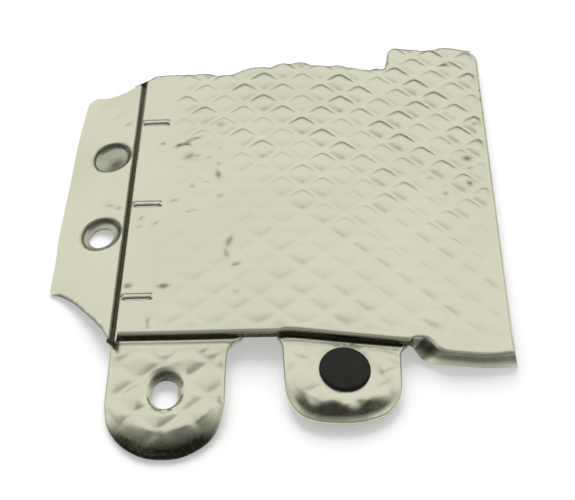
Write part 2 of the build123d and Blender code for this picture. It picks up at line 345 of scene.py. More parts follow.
def offset_line(line, amount):
    """A polyline moved sideways, to its left for a positive amount, with mitred corners."""
    runs = np.diff(line, axis=0)
    runs /= np.linalg.norm(runs, axis=1)[:, None]
    before = np.vstack((runs[:1], runs))
    after = np.vstack((runs, runs[-1:]))
    left_before = np.column_stack((-before[:, 1], before[:, 0]))
    left_after = np.column_stack((-after[:, 1], after[:, 0]))
    mean = left_before + left_after
    mean /= np.linalg.norm(mean, axis=1)[:, None]
    mitre = 1 / np.maximum((mean * left_before).sum(1), MITRE_LEAST)
    return line + mean * (amount * mitre)[:, None]


def inside(points, loop):
    """Which points lie inside a closed loop."""
    points = np.asarray(points, float)
    hits = np.zeros(len(points), bool)
    for start, end in zip(loop, np.roll(loop, -1, axis=0)):
        crosses = (start[1] > points[:, 1]) != (end[1] > points[:, 1])
        if not crosses.any():
            continue
        reach = start[0] + (points[:, 1] - start[1]) / (end[1] - start[1] + 1e-12) * (end[0] - start[0])
        hits ^= crosses & (points[:, 0] < reach)
    return hits


def clear_of(points, others, gap):
    """The points that lie further than a gap from all the others."""
    keep = np.ones(len(points), bool)
    for start in range(0, len(points), BLOCK):
        block = points[start : start + BLOCK]
        near = np.zeros(len(block), bool)
        for other in range(0, len(others), OTHER_BLOCK):
            part = others[other : other + OTHER_BLOCK]
            apart = ((block[:, None, :] - part[None, :, :]) ** 2).sum(2)
            near |= (apart < gap * gap).any(1)
        keep[start : start + BLOCK] = ~near
    return points[keep]


def to_line(x, y, line):
    """Distance of points from a polyline with close points."""
    near = np.full(len(x), np.inf)
    for point in line:
        near = np.minimum(near, (x - point[0]) ** 2 + (y - point[1]) ** 2)
    return np.sqrt(near)


def grid(low, high, step):
    """Points of a triangular grid that fills a rectangle."""
    points = []
    rise = step * sqrt(3) / 2
    for row in range(int((high[1] - low[1]) / rise) + 1):
        y = low[1] + row * rise
        shift = step / 2 if row % 2 else 0
        count = int((high[0] - low[0]) / step) + 1
        points += [(low[0] + shift + column * step, y) for column in range(count)]
    return np.array(points)


def fill(loops, holes, extras):
    """Triangles inside the outer loops and outside the holes, with extra points inside."""
    coords = []
    edges = []
    for loop in [*loops, *holes]:
        first = len(coords)
        coords += [tuple(point) for point in loop]
        edges += [(first + i, first + (i + 1) % len(loop)) for i in range(len(loop))]
    coords += [tuple(point) for point in extras]
    result = delaunay_2d_cdt([Vector(point) for point in coords], edges, [], FILL_INSIDE, FILL_EPSILON)
    points = np.array([tuple(point) for point in result[0]])
    faces = np.array([tuple(face) for face in result[2]])
    middles = points[faces].mean(1)
    keep = np.zeros(len(faces), bool)
    for loop in loops:
        keep |= inside(middles, loop)
    for hole in holes:
        keep &= ~inside(middles, hole)
    faces = faces[keep]
    a, b, c = (points[faces[:, i]] for i in range(3))
    turned = (b - a)[:, 0] * (c - a)[:, 1] - (b - a)[:, 1] * (c - a)[:, 0] < 0
    faces[turned] = faces[turned][:, ::-1]
    return points, faces


def strip(rows):
    """Vertices and triangles of a strip through rows of points of equal count."""
    count = len(rows[0])
    faces = []
    for row in range(len(rows) - 1):
        for index in range(count - 1):
            a = row * count + index
            b = a + count
            faces += [(a, b, a + 1), (a + 1, b, b + 1)]
    return np.vstack(rows), np.array(faces)


def weld(patches):
    """One mesh from several, with vertices that lie at the same place joined."""
    vertices = []
    faces = []
    known = {}
    for points, triangles in patches:
        index_of = []
        for point in points:
            key = tuple(np.round(point, WELD_DIGITS))
            if key not in known:
                known[key] = len(vertices)
                vertices.append(point)
            index_of.append(known[key])
        for triangle in triangles:
            corners = [index_of[i] for i in triangle]
            if len(set(corners)) == 3:
                faces.append(corners)
    return np.array(vertices), np.array(faces)


def thicken(vertices, faces, thickness):
    """A closed sheet of even thickness below a surface."""
    a, b, c = (vertices[faces[:, i]] for i in range(3))
    flat = np.cross(b - a, c - a)
    normals = np.zeros_like(vertices)
    for corner in range(3):
        np.add.at(normals, faces[:, corner], flat)
    normals /= np.maximum(np.linalg.norm(normals, axis=1), 1e-9)[:, None]
    count = len(vertices)
    both = np.vstack((vertices, vertices - normals * thickness))
    used = {}
    for face in faces:
        for start, end in ((face[0], face[1]), (face[1], face[2]), (face[2], face[0])):
            used[(start, end)] = True
    rim = [(s, e, e + count, s + count) for s, e in used if (e, s) not in used]
    solid = [tuple(face) for face in faces]
    solid += [tuple(face[::-1] + count) for face in faces]
    solid += [(b, a, d, c) for a, b, c, d in rim]
    return both, solid


def make_piece(name, vertices, faces, material, sharp=38.0, marks=()):
    """A mesh object in the row frame, smooth but for its sharp edges, with values on its points."""
    mesh = bpy.data.meshes.new(name)
    placed = (np.asarray(vertices, float) + PLACE) * MM
    polygons = [tuple(int(i) for i in face) for face in faces]
    mesh.from_pydata([tuple(point) for point in placed], [], polygons)
    mesh.update()
    for label, amounts in marks:
        values = mesh.attributes.new(label, "FLOAT", "POINT")
        values.data.foreach_set("value", np.asarray(amounts, np.float32))
    mesh.shade_smooth()
    mesh.set_sharp_from_angle(angle=radians(sharp))
    mesh.materials.append(material)
    piece = bpy.data.objects.new(name, mesh)
    bpy.context.scene.collection.objects.link(piece)
    return piece


# Outline of the panel, and of the flange by its width from the crease
TOP_EDGE = [(-57.8, 4.4), (-55.4, 5.6), (-42.6, 5.8), (-32.3, 5.0), (-22.3, 8.8), (-17.2, 8.8),
            (-14.0, 10.3), (-6.8, 11.0), (-0.2, 9.8), (6.5, 10.4), (13.4, 8.9), (16.2, 9.0),
            (19.4, 10.0), (21.2, 9.9), (22.9, 11.9), (23.6, 17.9), (24.7, 20.2), (26.2, 21.6),
            (28.4, 22.0), (32.1, 21.4), (38.2, 22.1), (42.7, 23.6), (45.6, 23.9), (53.6, 23.8)]
FLANGE_EDGE = [(20.3, -87.0), (21.2, -86.1), (21.1, -74.9), (21.4, -63.9), (20.8, -43.5), (20.4, -23.5),
               (19.1, -5.9), (18.5, -4.2), (17.1, -2.9), (15.7, -2.6), (12.2, -3.1), (7.2, -1.8),
               (2.8, 0.8)]
FLANGE_CUT = [(-1.4, -107.6), (0.3, -107.0), (4.2, -101.2), (8.1, -96.6), (14.1, -90.5), (18.2, -87.7)]
CORNER = [(53.6, 23.8), (54.05, 23.1)]

# Turned-down edge from the top right round to the crease: start of the roll, foot and drop
TURNED = [
    ((54.2, 22.2), (54.9, 22.7), 0.4),
    ((54.8, 19.4), (56.9, 20.0), 2.4),
    ((54.7, 13.0), (57.1, 13.0), 6.0),
    ((53.1, -107.0), (55.3, -109.4), 6.0),
    ((46.0, -108.2), (46.6, -109.9), 5.8),
    ((38.4, -108.3), (38.0, -109.7), 5.8),
    ((34.8, -108.2), (34.0, -109.5), 5.8),
    ((32.6, -107.4), (30.4, -109.4), 5.6),
    ((31.0, -105.4), (27.6, -108.2), 5.2),
    ((29.2, -104.0), (25.6, -105.8), 4.2),
    ((26.0, -103.8), (24.2, -105.6), 3.0),
    ((22.2, -104.6), (22.2, -105.8), 2.6),
    ((6.0, -103.9), (6.0, -105.2), 2.5),
    ((-9.9, -102.6), (-9.9, -104.0), 2.5),
    ((-14.4, -103.2), (-14.4, -104.6), 2.5),
    ((-24.0, -103.4), (-24.0, -104.8), 2.5),
    ((-42.0, -103.6), (-42.0, -105.0), 2.5),
    ((-59.1, -103.6), (-59.4, -105.0), 2.5),
]

# Ends of the straight right side among the rows above
SIDE_FIRST = 2
SIDE_LAST = 3


def turned_lines():
    """Roll line, foot line and drops with the same number of even steps."""
    keys = [np.array((*start, *end, drop)) for start, end, drop in TURNED]
    line = []
    for run in (keys[: SIDE_FIRST + 1], keys[SIDE_FIRST : SIDE_LAST + 1], keys[SIDE_LAST:]):
        last = len(run) - 1
        for index in range(last):
            before = run[max(index - 1, 0)]
            start, end = run[index], run[index + 1]
            after = run[min(index + 2, last)]
            pieces = max(1, int(round(np.linalg.norm((end - start)[:2]) / TURNED_STEP)))
            line += [between(before, start, end, after, piece / pieces) for piece in range(pieces)]
    line = np.array([*line, keys[-1]])
    return line[:, :2], line[:, 2:4], line[:, 4]


def flange_line(edge):
    """Plan line on the flange through places given by width from the crease and Y."""
    return spline([(CREASE_X - width * cos(BEND), y) for width, y in edge])


roll_line, foot_line, turned_drop = turned_lines()
top_edge = spline(TOP_EDGE)
flange_edge = flange_line(FLANGE_EDGE)
flange_cut = flange_line(FLANGE_CUT)
outline = np.vstack((roll_line, flange_cut, flange_edge, top_edge[:-1], CORNER))

# Dents of the panel: place, size, depth and turn
DENTS = [
    ((-51.9, -27.8), (1.6, 1.0), 0.25, 0.3),
    ((-43.6, -27.4), (4.0, 0.9), 0.30, 0.5),
    ((-39.5, -34.6), (3.6, 1.4), 0.30, 0.0),
    ((-33.0, -19.4), (1.8, 1.8), 0.35, 0.0),
    ((-33.3, -42.4), (1.3, 2.6), 0.30, 0.0),
    ((-32.2, -51.6), (1.4, 1.8), 0.30, 0.0),
    ((-41.2, -58.6), (3.0, 1.2), 0.25, 0.4),
    ((-28.3, -73.0), (1.6, 4.5), 0.35, 0.1),
    ((-27.2, -80.1), (1.6, 2.0), 0.30, 0.0),
    ((-26.2, -90.0), (1.4, 2.4), 0.25, 0.0),
    ((-50.9, -101.0), (1.2, 1.6), 0.25, 0.0),
    ((44.1, 15.3), (2.0, 1.2), 0.30, 0.0),
    ((46.9, -30.7), (1.6, 1.6), 0.35, 0.0),
    ((47.1, -41.5), (1.8, 1.2), 0.30, 0.0),
    ((38.5, -47.2), (2.2, 1.4), 0.30, 0.3),
    ((34.5, -40.9), (1.6, 1.6), 0.30, 0.0),
    ((-57.0, -88.4), (1.4, 1.0), 0.30, 0.0),
    ((-46.7, -88.8), (1.6, 1.2), 0.30, 0.0),
]


def from_cup(x, y, cup_y):
    """Distance from a cup's axis, along the flange."""
    return np.hypot((x - CUP_X) / cos(BEND), y - cup_y)


def edge_fade(x, y):
    """How much embossing is left near the folded edges, the crease and the smooth left part."""
    right = RIGHT_X_BOTTOM + RIGHT_LEAN * (y - LIP_Y) - ROLL
    fade = smooth(0.0, FADE_RIGHT, right - x) * smooth(0.0, FADE_FOLD, y - FOLD_Y - ROLL)
    left = smooth(*FADE_LEFT_X, x) + dent(x, y, *FLANGE_PATCH)
    calm = 1 + dent(x, y, *CALM_PATCH)
    strong = DEEPER_FROM + DEEPER_BY * smooth(*DEEPER_Y, y)
    return fade * left * calm * strong


def panel_height(x, y):
    """Height of the upper face of the panel and the flange."""
    flange = CREASE_Z - (CREASE_X - x) * tan(BEND)
    height = np.where(x < CREASE_X, flange, crown(x))
    groove = GROOVE_HALF * (1 + GROOVE_WIDEN * smooth(*GROOVE_WIDEN_Y, y))
    share = 1 - np.sqrt(((x - CREASE_X) / groove) ** 2 + GROOVE_FLOOR_SOFT)
    height = height - GROOVE_DEPTH * (share + np.sqrt(share**2 + GROOVE_RIM_SOFT)) / 2
    height = height + bump_field(x, y) * edge_fade(x, y)
    for cup_y, middle_depth in zip(CUP_Y, (CUP_DEPTH_BLIND, CUP_DEPTH_OPEN)):
        height = height - np.interp(from_cup(x, y, cup_y), CUP_REACHES, (middle_depth, *CUP_DEPTHS))
    for rib_y in RIB_Y:
        ends = smooth(0.0, RIB_END, RIB_LENGTH / 2 - np.abs(x - RIB_MIDDLE))
        ridge = smooth(RIB_WIDTH / 2, RIB_WIDTH / 2 - RIB_SIDE, np.abs(y - rib_y))
        height = height + RIB_HEIGHT * ends * ridge
    for place, size, depth, turn in DENTS:
        height = height + dent(x, y, place, size, depth, turn)
    return height


# Dark marks on the panel: place, size, turn and strength
MARKS = [
    ((-51.9, -27.8), (0.9, 0.4), 0.3, 0.7),
    ((-46.4, -28.9), (1.3, 0.7), 0.5, 1.0),
    ((-44.2, -27.6), (1.2, 0.45), 0.4, 0.9),
    ((-41.4, -26.0), (1.9, 0.4), 0.2, 0.8),
    ((-43.0, -34.3), (1.3, 0.6), 0.6, 0.6),
    ((-40.4, -33.6), (1.4, 0.4), 0.1, 0.45),
    ((-36.5, -34.6), (0.7, 0.6), 0.0, 0.35),
    ((-33.4, -19.6), (1.4, 1.1), 0.0, 0.35),
    ((-33.2, -30.8), (0.6, 0.4), 0.0, 0.4),
    ((-33.3, -37.5), (0.6, 0.6), 0.0, 0.45),
    ((-33.2, -42.4), (0.8, 1.7), 0.2, 0.7),
    ((-41.2, -47.5), (0.8, 0.6), 0.4, 0.45),
    ((-37.0, -45.4), (1.2, 0.3), 0.0, 0.3),
    ((-32.2, -51.6), (1.0, 0.6), 0.6, 0.4),
    ((-41.0, -57.8), (1.9, 0.3), 0.2, 0.4),
    ((-56.0, -60.4), (0.9, 0.4), 0.9, 0.6),
    ((-51.6, -62.6), (1.1, 0.4), 0.7, 0.45),
    ((-56.5, -64.0), (0.6, 0.4), 0.0, 0.45),
    ((-28.6, -70.4), (0.8, 1.9), -0.4, 0.6),
    ((-29.3, -75.4), (0.7, 1.6), 0.3, 0.5),
    ((-26.4, -79.6), (1.3, 0.6), 0.3, 0.6),
    ((-26.0, -90.0), (0.9, 0.5), 0.0, 0.35),
    ((-50.9, -100.4), (0.35, 1.4), 0.0, 0.6),
    ((-50.7, -102.4), (0.8, 0.35), 0.0, 0.5),
    ((-57.9, -87.0), (1.1, 0.6), 0.2, 0.9),
    ((-47.4, -87.4), (1.6, 0.6), 0.1, 0.9),
    ((-46.4, -53.4), (1.2, 0.5), 0.2, 0.5),
    ((44.1, 15.3), (0.7, 1.1), 0.0, 0.6),
    ((55.0, -1.6), (0.5, 0.7), 0.0, 0.7),
    ((55.3, -8.4), (0.4, 0.8), 0.0, 0.6),
    ((55.2, 3.4), (0.4, 0.6), 0.0, 0.5),
    ((51.5, -14.8), (1.1, 0.7), 0.6, 0.5),
    ((52.2, -23.5), (1.1, 0.5), 0.0, 0.5),
    ((47.4, -31.2), (1.4, 1.2), 0.3, 0.8),
    ((48.0, -35.4), (0.9, 0.5), 0.4, 0.5),
    ((47.2, -42.6), (0.9, 1.1), 0.0, 0.8),
    ((39.0, -47.6), (0.7, 0.7), 0.0, 0.6),
    ((34.5, -40.9), (0.8, 0.4), 0.3, 0.4),
    ((-66.6, -54.0), (1.7, 0.6), -0.4, 0.35),
    ((-63.6, -55.6), (0.8, 0.7), 0.0, 0.5),
    ((-64.0, -17.6), (1.2, 0.7), 0.4, 0.4),
    # Painted shade at the apex of the blind cup's cone
    ((CUP_X + 1.2, CUP_Y[0]), (2.0, 1.6), 0.0, 0.35),
]

# Bands of painted shade in the groove, round the cups' rims, under their far rims and beside the ribs,
# of painted dark reflection along the top edge, and of the red streak: place, width and strength
GROOVE_SHADE = ((-0.3, 0.4, 1.0), (0.55, 0.4, 0.55))
CUP_RIM_SHADE = ((6.5, 0.3, 0.35),)
CUP_FAR_SHADE = ((6.1, 0.45, 0.5),)
RIB_SHADE = ((-RIB_WIDTH / 2 - 0.05, 0.34, 1.0), (RIB_WIDTH / 2, 0.3, 0.45))
EDGE_SHADE = ((0.0, 0.35, 0.75),)
STREAK_REACH = ((4.4, 0.4, 1.0),)
STREAK_TURN = ((-122.0, 26.0, 1.0),)

# Painted shade in the cups and beside the ribs, and painted dark reflection on the apron and the lip by
# X, by Y and by depth below the panel
CUP_SHADE = 0.38
CUP_SHADE_REACH = (6.6, 5.8)
CUP_FAR = 6.5
RIB_SHADE_END = 0.6
APRON_DARK = 0.95
APRON_FROM_CREASE = (1.0, 2.5)
APRON_END_X = (24.0, 26.0)
TURNED_SHADE_Y = (-101.0, -103.0)
TURNED_SHADE_DEPTH = (0.08, 1.1)
LIP_DARK = 0.80
LIP_DARK_DEPTH = (5.2, 2.6)


def panel_dirt_and_shade(x, y, z):
    """Darkness laid on the panel, the flange and the turned edges: dark scuff marks, painted shade in
    the groove, the cups and beside the ribs, and painted dark reflection along the top edge and on the
    turned edges.
    """
    # Painted shade on the walls of the groove along the crease
    dark = bands(x - CREASE_X, GROOVE_SHADE)
    below = crown(x) - z
    on_lip = smooth(*APRON_END_X, x)
    on_apron = (1 - on_lip) * smooth(*APRON_FROM_CREASE, x - CREASE_X)
    # Painted dark reflection on the turned-down apron and lip
    turned = smooth(*TURNED_SHADE_DEPTH, below) * smooth(*TURNED_SHADE_Y, y)
    dark += APRON_DARK * turned * on_apron
    dark += LIP_DARK * turned * on_lip * smooth(*LIP_DARK_DEPTH, below)
    for place, size, turn, strength in MARKS:
        dark += dent(x, y, place, size, -strength, turn)
    # Painted shade inside the cups, under their far rims and round their rims
    for cup_y in CUP_Y:
        reach = from_cup(x, y, cup_y)
        far = np.clip((y - cup_y) / CUP_FAR, 0, 1)
        dark += CUP_SHADE * smooth(*CUP_SHADE_REACH, reach)
        dark += far * bands(reach, CUP_FAR_SHADE) + bands(reach, CUP_RIM_SHADE)
    # Painted shade in the slits under the ribs and on their far sides
    for rib_y in RIB_Y:
        along = smooth(0.0, RIB_SHADE_END, RIB_LENGTH / 2 - np.abs(x - RIB_MIDDLE))
        dark += along * bands(y - rib_y, RIB_SHADE)
    # Painted dark reflection along the top edge and the flange's cut edge
    dark += bands(to_line(x, y, np.vstack((top_edge, flange_cut))), EDGE_SHADE)
    return np.clip(dark, 0, 1)


def slit(rib_y):
    """Lens-shaped slit on the near side of a lanced rib."""
    left = CREASE_X + RIB_LEFT + SLIT_INSET
    right = left + RIB_LENGTH - SLIT_SHORT
    middle = (left + right) / 2
    near = rib_y - RIB_WIDTH / 2
    points = [(left, near), (middle, near - SLIT_OPEN), (right, near), (middle, near + SLIT_LAP)]
    return spline(points, SLIT_STEP, True)


# Points of the panel's mesh: rings of the cups, rows along the crease, ribs and the open field
slits = [slit(rib_y) for rib_y in RIB_Y]
bore = ring((CUP_X, CUP_Y[1]), BORE_RADIUS, BORE_POINTS, cos(BEND))
special = [np.array([(CUP_X, CUP_Y[0])])]
for cup_y, radii in zip(CUP_Y, (CUP_RINGS + BLIND_RINGS, CUP_RINGS)):
    for radius in radii:
        count = max(RING_LEAST, int(2 * pi * radius / RING_STEP))
        special.append(ring((CUP_X, cup_y), radius, count, cos(BEND)))
for y in np.arange(*CREASE_ROWS_Y, STEP):
    special.append(np.array([(CREASE_X + offset, y) for offset in CREASE_OFFSETS]))
ribs = []
for rib_y, lens in zip(RIB_Y, slits):
    low = (CREASE_X + RIB_LEFT + RIB_PATCH_LOW[0], rib_y + RIB_PATCH_LOW[1])
    high = (CREASE_X + RIB_LEFT + RIB_PATCH_HIGH[0], rib_y + RIB_PATCH_HIGH[1])
    ribs.append(clear_of(grid(low, high, RIB_STEP), lens, SLIT_GAP))
ribs = np.vstack(ribs)
fixed = np.vstack(special)
fixed = fixed[inside(fixed, outline)]
fixed = clear_of(fixed, np.vstack((outline, bore)), EDGE_GAP)
fixed = fixed[~inside(fixed, bore)]
fixed = clear_of(fixed, ribs, RIB_GAP)
field = grid(FIELD_LOW, FIELD_HIGH, STEP)
field = field[inside(field, outline)]
field = field[np.abs(field[:, 0] - CREASE_X) > CREASE_CLEAR]
field = clear_of(field, np.vstack((outline, ribs)), FIELD_GAP)
for cup_y in CUP_Y:
    field = field[from_cup(*field.T, cup_y) > CUP_CLEAR]
plan, triangles = fill([outline], [bore, *slits], np.vstack((field, fixed, ribs)))
panel = np.column_stack((plan, panel_height(*plan.T)))


def turned_rows(start, end, base, drops, radius):
    """Rows of points from a roll's start down to its foot: an arc, then a straight slope."""
    run = np.linalg.norm(end - start, axis=1)
    out = (end - start) / run[:, None]
    radius = np.minimum(radius, np.minimum(ARC_OF_RUN * run, ARC_OF_DROP * drops))
    low = np.full(len(run), LEAST_TURN)
    high = np.full(len(run), MOST_TURN)
    for _ in range(HALVINGS):
        middle = (low + high) / 2
        reach = radius * np.sin(middle) + (drops - radius * (1 - np.cos(middle))) / np.tan(middle)
        low = np.where(reach > run, middle, low)
        high = np.where(reach > run, high, middle)
    rows = [np.column_stack((start, base))]
    for step in range(1, ARC_ROWS + 1):
        turn = high * step / ARC_ROWS
        place = start + out * (radius * np.sin(turn))[:, None]
        rows.append(np.column_stack((place, base - radius * (1 - np.cos(turn)))))
    last = rows[-1]
    for step in range(1, SLOPE_ROWS + 1):
        share = step / SLOPE_ROWS
        place = last[:, :2] * (1 - share) + end * share
        rows.append(np.column_stack((place, last[:, 2] * (1 - share) + (base - drops) * share)))
    return rows


# Sheet with its turned edges, its dirt and painted shade, and the red streak in the open cup
base = panel_height(*roll_line.T)
reach_down = np.minimum(turned_drop, base - REST_Z - LIP_CLEAR)
lip = strip(turned_rows(roll_line, foot_line, base, reach_down, LIP_ROLL)[::-1])
sheet_vertices, sheet_faces = weld([(panel, triangles), lip])
shell = thicken(sheet_vertices, sheet_faces, SHEET)
shell_dirt_and_shade = np.tile(panel_dirt_and_shade(*sheet_vertices.T), 2)
streak_x = (sheet_vertices[:, 0] - CUP_X) / cos(BEND)
streak_y = sheet_vertices[:, 1] - CUP_Y[1]
streak_turn = np.degrees(np.arctan2(streak_y, streak_x))
streak = bands(np.hypot(streak_x, streak_y), STREAK_REACH) * bands(streak_turn, STREAK_TURN)
shell_red = np.tile(streak, 2)

# Outlines of the tabs
SLOT_TAB = [(-61.0, -104.2), (-61.1, -112.0), (-61.0, -126.0)]
SLOT_TAB_END = [(-61.0, -126.0), (-59.6, -132.4), (-55.6, -138.0), (-50.0, -141.4), (-44.4, -142.2),
                (-38.6, -141.3), (-32.8, -137.6), (-29.2, -132.2), (-27.8, -126.0)]
SLOT_TAB_FLARE = [(-27.8, -126.0), (-27.8, -110.6), (-26.9, -107.6), (-24.2, -105.4), (-23.4, -103.9)]
BUTTON_TAB = [(-14.8, -102.6), (-13.4, -104.5), (-12.3, -107.4), (-12.0, -113.0), (-11.2, -121.5),
              (-9.4, -126.0), (-6.6, -129.2), (-2.6, -130.9), (2.4, -131.3), (7.3, -131.1),
              (11.8, -130.1), (16.4, -127.9), (19.4, -124.6), (21.0, -121.0), (21.4, -113.0),
              (21.5, -108.6), (22.6, -106.4), (24.6, -104.4)]

# Dents of the second tab: place, size, depth and turn
TAB_DENTS = [
    ((15.5, -117.0), (1.2, 4.0), 0.30, 0.5),
    ((18.2, -110.5), (1.0, 3.0), 0.25, -0.4),
]

# Dark mark on the slotted tab: place, size, turn and strength
SLOT_TAB_MARKS = [((-34.5, -109.2), (1.2, 0.5), 0.4, 0.6)]

# Dark wrinkles on the second tab, from the middle of the button: place, size, turn and strength
BUTTON_TAB_MARKS = [
    ((12.2, 0.4), (2.4, 0.35), 0.45, 0.35),
    ((14.4, 3.0), (1.8, 0.35), -0.5, 0.30),
    ((10.6, -4.2), (2.2, 0.40), 0.55, 0.35),
    ((13.0, 6.4), (2.6, 0.35), -0.35, 0.35),
    ((-9.2, -6.4), (2.6, 0.45), 0.45, 0.35),
    ((-11.4, 3.6), (1.8, 0.40), -0.5, 0.20),
]

# Painted shade along the tabs' folds and in the slot's rim, and painted dark reflection at the ends of
# the tabs
TAB_FOLD_SHADE = ((0.0, 0.5, 0.5),)
SLOT_DARK = 0.12
SLOT_FAR_DARK = 0.75
SLOT_FAR_START = -4.5
SLOT_FAR_RUN = 9.5
SLOT_FAR_POWER = 1.5
SLOT_DARK_DEPTH = (0.1, 0.6)
SLOT_END_DARK = 1.35
SLOT_END_REACH = 6.0
SLOT_END_Y = (-129.0, -137.0)
END_DARK = 0.85
END_DARK_Y = (-122.5, -125.5)
END_DARK_EDGE = (0.9, 2.0)
END_DARK_REACH = 5.4
END_DARK_SOFT = 1.6
END_DARK_WAVE = 0.9
END_DARK_WAVE_RATE = 0.55
END_DARK_WAVE_START = 0.6


def tab_fold(x):
    """Plan place of the apron's face along the tabs."""
    return np.interp(x, foot_line[::-1, 0], foot_line[::-1, 1])


def past_stadium(x, y, middle, width, length):
    """Distance of points outside a slot shape, and less than zero inside it."""
    past = np.maximum(np.abs(y - middle) - (length - width) / 2, 0)
    return np.hypot(x - SLOT_X, past) - width / 2


def slot_depth(x, y):
    """Depth of the pressed rim round the bolt slot."""
    opening = np.maximum(past_stadium(x, y, SLOT_Y, SLOT_WIDTH, SLOT_LENGTH), 0)
    rim = np.maximum(-past_stadium(x, y, SLOT_RIM_Y, SLOT_RIM_WIDTH, SLOT_RIM_LENGTH), 0)
    share = opening / np.maximum(opening + rim, 1e-6)
    return SLOT_RIM_DEPTH * np.interp(share, SLOT_RIM_SHARES, SLOT_RIM_DEPTHS)


def tab_height(x, y, tab, line):
    """Height of the upper face of a tab."""
    past = tab_fold(x) - y
    apart = to_line(x, y, line)
    wider, wider_y, lower, lower_y = TAB_ENDS[tab]
    width = TAB_EDGE + wider * smooth(*wider_y, y)
    if tab == "slot":
        sink = (TAB_DROP - TAB_FOLD_DROP) * smooth(0.0, TAB_FOLD_RUN, past)
        height = crown(x) - TAB_FOLD_DROP - sink
    else:
        height = crown(x) - TAB_DROP + TAB_LIFT
        width = width + END_WAVE * np.sin(x * END_WAVE_RATE)
    fall = lower * smooth(*lower_y, y)
    height = height - fall * np.clip(1 - apart / width, 0, 1) ** END_POWER
    height = np.maximum(height, REST_Z + SHEET + TAB_ROLL + TAB_CLEAR)
    height = height + bands(past, FOLD_BANDS)
    bumps = bump_field(x, y - TAB_LATTICE_SHIFT) * smooth(*TAB_BUMPS_PAST_FOLD, past)
    bumps = bumps * smooth(TAB_BUMPS_FROM_EDGE, width + TAB_BUMPS_PAST_EDGE, apart) * TAB_BUMPS[tab]
    if tab == "slot":
        past_rim = past_stadium(x, y, SLOT_RIM_Y, SLOT_RIM_WIDTH, SLOT_RIM_LENGTH)
        return height + bumps * smooth(0.0, SLOT_RIM_CLEAR, past_rim) - slot_depth(x, y)
    beside = np.hypot(x - BUTTON_X, y - BUTTON_Y)
    away = smooth(*BUTTON_CLEAR, beside)
    height = height + bumps * away
    for place, size, depth, turn in TAB_DENTS:
        height = height + dent(x, y, place, size, depth, turn) * away
    seat = crown(BUTTON_X) - TAB_DROP - SEAT_DEPTH - SEAT_GAP - (x - BUTTON_X) * sin(SEAT_TURN)
    return seat + (height - seat) * smooth(*SEAT_BLEND, beside)


def tab_dirt_and_shade(x, y, tab, line):
    """Darkness laid on a tab: painted shade along its fold and in the slot's rim, painted dark
    reflection at its end, and dark marks.
    """
    # Painted shade along the tab's fold
    dark = bands(tab_fold(x) - y, TAB_FOLD_SHADE)
    apart = to_line(x, y, line)
    if tab == "slot":
        # Painted shade in the slot's pressed rim, darker towards its far side
        far = np.clip((y - SLOT_Y - SLOT_FAR_START) / SLOT_FAR_RUN, 0, 1)
        shade = SLOT_DARK + SLOT_FAR_DARK * far**SLOT_FAR_POWER
        dark += shade * smooth(*SLOT_DARK_DEPTH, slot_depth(x, y))
        # Painted dark reflection at the end of the slotted tab
        dark += smooth(*SLOT_END_Y, y) * np.clip(SLOT_END_DARK - apart / SLOT_END_REACH, 0, 1)
        marks, middle = SLOT_TAB_MARKS, (0.0, 0.0)
    else:
        # Painted dark reflection at the end of the second tab
        wave = END_DARK_WAVE * np.sin(x * END_DARK_WAVE_RATE + END_DARK_WAVE_START)
        reach = END_DARK_REACH + wave
        end = smooth(*END_DARK_Y, y) * smooth(*END_DARK_EDGE, apart)
        dark += END_DARK * end * smooth(reach, reach - END_DARK_SOFT, apart)
        marks, middle = BUTTON_TAB_MARKS, (BUTTON_X, BUTTON_Y)
    for place, size, turn, strength in marks:
        dark += dent(x - middle[0], y - middle[1], place, size, -strength, turn)
    return np.clip(dark, 0, 1)


def rolled_line(line, amount):
    """A tab's free edge moved inwards, with its two ends left at their own Y."""
    moved = offset_line(line, amount)
    moved[0, 1] = line[0, 1]
    moved[-1, 1] = line[-1, 1]
    return moved


def tab_shell(line, tab, holes, rings):
    """A closed tab with its free edge rolled down, and its dirt and painted shade. The last ring is the
    widest.
    """
    inner = rolled_line(line, TAB_ROLL)
    closing = straight([tuple(inner[-1]), tuple(inner[0])])[1:-1]
    loop = np.vstack((inner, closing))
    round_points = np.vstack(rings)
    round_points = round_points[inside(round_points, loop)]
    points = grid(tuple(loop.min(0)), tuple(loop.max(0)), TAB_STEP)
    points = points[inside(points, loop)]
    points = clear_of(points, np.vstack((loop, round_points)), FIELD_GAP)
    if holes:
        points = points[~inside(points, rings[-1])]
    flat, faces = fill([loop], holes, np.vstack((points, round_points)))
    top = np.column_stack((flat, tab_height(*flat.T, tab, line)))
    level = tab_height(*inner.T, tab, line)
    edge_rows = [np.column_stack((inner, level))]
    for step in range(1, TAB_ROLL_ROWS + 1):
        turn = pi / 2 * step / TAB_ROLL_ROWS
        moved = rolled_line(line, TAB_ROLL * (1 - sin(turn)))
        edge_rows.append(np.column_stack((moved, level - TAB_ROLL * (1 - cos(turn)))))
    rim = np.maximum(level - TAB_ROLL - TAB_RIM, REST_Z + SHEET)
    edge_rows.append(np.column_stack((line, rim)))
    vertices, triangles = weld([(top, faces), strip(edge_rows)])
    # Dark marks, painted shade and painted dark reflection on the tab's points
    dirt_and_shade = tab_dirt_and_shade(vertices[:, 0], vertices[:, 1], tab, line)
    return thicken(vertices, triangles, TAB_SHEET), np.tile(dirt_and_shade, 2)


